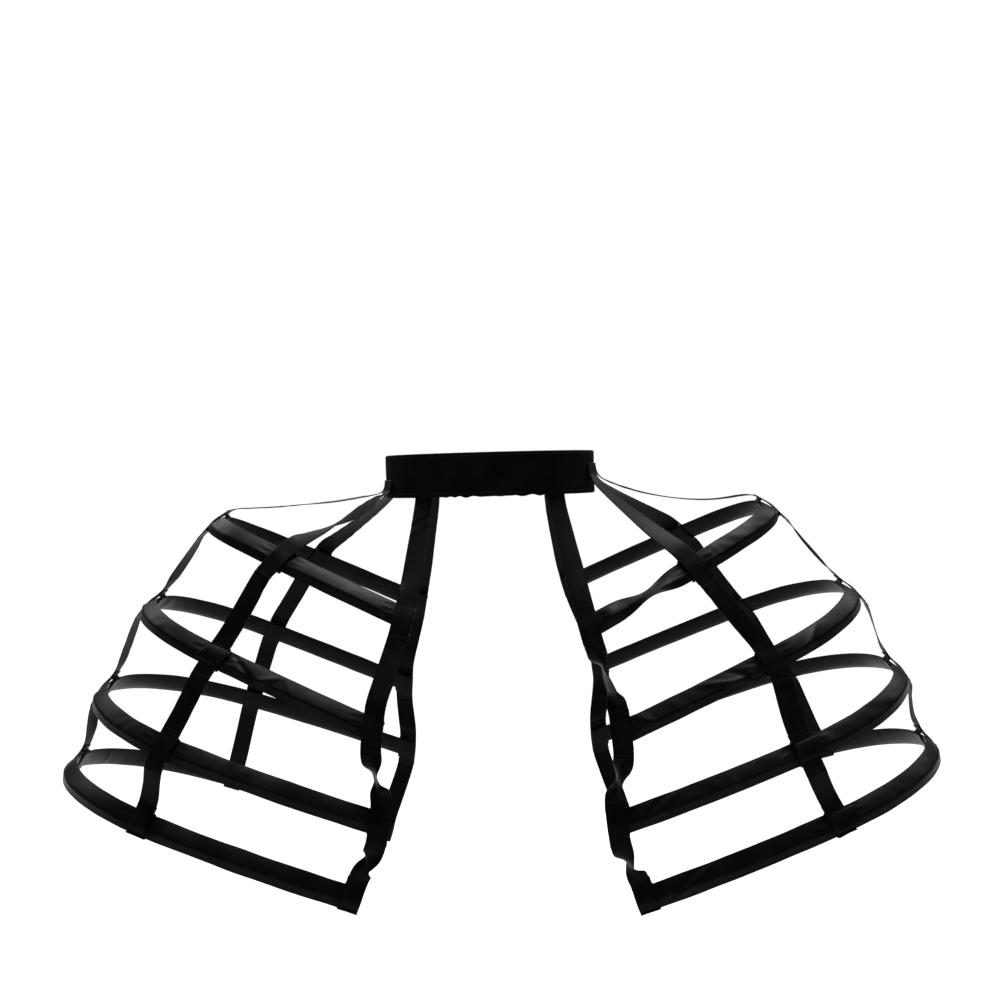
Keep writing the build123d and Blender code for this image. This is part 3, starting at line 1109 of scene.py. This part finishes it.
# a point on the band at an angle round the waist and a height, on its outer or inner face
def bandPoint(angle, height, outside, lift=0.0):
    angle %= 2 * pi
    halfWidth, halfDepth = band["width"] / 2, band["depth"] / 2
    point = Vector((halfWidth * cos(angle), halfDepth * sin(angle), 0))
    out = Vector((cos(angle) / halfWidth, sin(angle) / halfDepth, 0)).normalized()
    top = height / (band["height"] / 2)
    amount = gathered(angle) * smoothStep(0.1, -1, top)
    pace = waistband["pace"]
    folds = roundDrift(angle, pace["folds"], 2) * waistband["gatherDepth"] * amount
    swell = waistband["wave"] * roundDrift(angle, pace["wave"], 4) * (1 - top ** 2)
    swell += waistband["uneven"] * roundDrift(angle, pace["uneven"], 6, height * 40)
    drop = waistband["gatherDrop"] * amount * roundDrift(angle, pace["drop"], 7)
    drop *= smoothStep(-0.5, -1, top)
    point += out * (outside * (band["thick"] / 2 + lift) + folds + swell)
    point.z = height + drop
    return point, out, Vector((0, 0, 1)).cross(out)


def makeWaistband():
    girth = 2 * band["height"] + 2 * band["thick"]
    perimeter = pi * (band["width"] + band["depth"]) / 2 * 1.01

    def place(u, v):
        angle = 2 * pi * u
        face = 1 if v < 0.5 else -1
        height = (1 - 4 * (v if v < 0.5 else 1 - v)) * band["height"] / 2
        rim = min(1, (band["height"] / 2 - abs(height)) / waistband["rim"])
        bulge = sqrt(max(0, 1 - (1 - rim) ** 2))
        return bandPoint(angle, height, face, -band["thick"] / 2 * (1 - bulge))[0]

    counts = (waistband["aroundCount"], waistband["sectionCount"])
    mesh = wrapGrid(*counts, place, (perimeter, girth))
    piece = addPiece("waistband_cloth", mesh, bandFabric)
    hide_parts("waistband")

    def rowAt(height):
        def line(u):
            point, out, across = bandPoint(2 * pi * u, height, 1)
            return point, out, Vector((0, 0, 1))
        return line

    low, high = waistband["seamLow"], waistband["seamHigh"]

    def seamLine(u):
        return bandPoint(radians(waistband["seamAt"]), lerp(low, high, u), 1)

    rows = [stitchRow(rowAt(height), perimeter) for height in waistband["stitchRows"]]
    rows.append(stitchRow(seamLine, high - low))
    stitching = addPiece("waistband_stitching", joinMeshes(rows), threadBlack)


def makeLap():
    middle = radians(lap["at"])
    spread = lap["wide"] / (band["width"] / 2) / 2
    high = band["height"] / 2 - lap["shy"]

    def place(u, v):
        beside = 2 * v - 1
        lift = lap["proud"] + lap["curl"] * beside ** 4
        return bandPoint(middle + beside * spread, lerp(high, -high, u), 1, lift)[0]

    counts = (lap["highCount"], lap["acrossCount"])
    mesh = wrapGrid(*counts, place, (band["height"], lap["wide"]))
    piece = addPiece("waistband_lap", mesh, bandFabric)
    thicken(piece, lap["thick"])

    def seam(angle):
        def line(u):
            height = lerp(-lap["stitchHigh"], lap["stitchHigh"], u) * high
            return bandPoint(angle, height, 1, lap["stitchLift"])
        return line

    edges = [middle - spread * lap["stitchAt"], middle + spread * lap["stitchAt"]]
    rows = [stitchRow(seam(angle), lap["stitchLong"]) for angle in edges]
    stitching = addPiece("waistband_lap_stitching", joinMeshes(rows), threadBlack)


makeWaistband()
makeLap()
print("waistband made")


# floor and light
studio = {
    "floorRadius": 25.0,
    "floorDrop": 1.05,
    "floorColour": (0.86, 0.86, 0.86, 1),
    "keyStrength": 3.7,
    "keyAngle": 22,
    "keyFrom": (0.15, 0.2, 1.0),
    "dimColour": (0.9, 0.92, 0.95, 1),
    "dimStrength": 0.12,
    "seenColour": (1, 1, 1, 1),
    "seenStrength": 1.0,
}

softboxes = [
    {"name": "overhead", "size": 1.6, "power": 26, "from": (0, 0.1, 1.7)},
    {"name": "beside", "size": 1.3, "power": 17, "from": (1.6, 1.2, 1.4)},
    {"name": "beside", "size": 1.3, "power": 17, "from": (-1.6, 1.2, 1.4)},
    {"name": "fill", "size": 1.2, "power": 10, "from": (-0.6, 1.8, 1.2)},
]


def makeFloor():
    mesh = bmesh.new()
    bmesh.ops.create_circle(mesh, cap_ends=True, segments=96, radius=studio["floorRadius"])
    bmesh.ops.translate(mesh, verts=mesh.verts, vec=(0, 0, -studio["floorDrop"]))
    data = bpy.data.meshes.new("floor")
    mesh.to_mesh(data)
    mesh.free()
    floor = bpy.data.objects.new("floor", data)
    scene.collection.objects.link(floor)
    material, tree, shader = newMaterial("pale floor")
    shader.inputs["Base Color"].default_value = studio["floorColour"]
    shader.inputs["Roughness"].default_value = 0.9
    shader.inputs["Specular IOR Level"].default_value = 0.1
    data.materials.append(material)


# a light at a place, turned to the origin and not seen itself
def aimed(name, data, origin):
    light = bpy.data.objects.new(name, data)
    scene.collection.objects.link(light)
    light.location = origin
    light.visible_camera = False
    light.rotation_euler = Vector(origin).to_track_quat("Z", "Y").to_euler()


def makeLights():
    key = bpy.data.lights.new("key", "SUN")
    key.energy = studio["keyStrength"]
    key.angle = radians(studio["keyAngle"])
    aimed("key", key, studio["keyFrom"])
    for box in softboxes:
        light = bpy.data.lights.new(box["name"], "AREA")
        light.size = box["size"]
        light.energy = box["power"]
        aimed(box["name"], light, box["from"])


# a pale surround that the camera sees, dimmer as a light
def makeWorld():
    world = bpy.data.worlds.new("studio")
    scene.world = world
    world.use_nodes = True
    tree = world.node_tree
    dim = tree.nodes["Background"]
    dim.inputs["Color"].default_value = studio["dimColour"]
    dim.inputs["Strength"].default_value = studio["dimStrength"]
    seen = tree.nodes.new("ShaderNodeBackground")
    seen.inputs["Color"].default_value = studio["seenColour"]
    seen.inputs["Strength"].default_value = studio["seenStrength"]
    ray = tree.nodes.new("ShaderNodeLightPath")
    mix = tree.nodes.new("ShaderNodeMixShader")
    link(tree, ray, "Is Camera Ray", mix, "Fac")
    link(tree, dim, "Background", mix, 1)
    link(tree, seen, "Background", mix, 2)
    link(tree, mix, "Shader", tree.nodes["World Output"], "Surface")


makeFloor()
makeLights()
makeWorld()
scene.view_settings.view_transform = "Standard"
print("studio made")
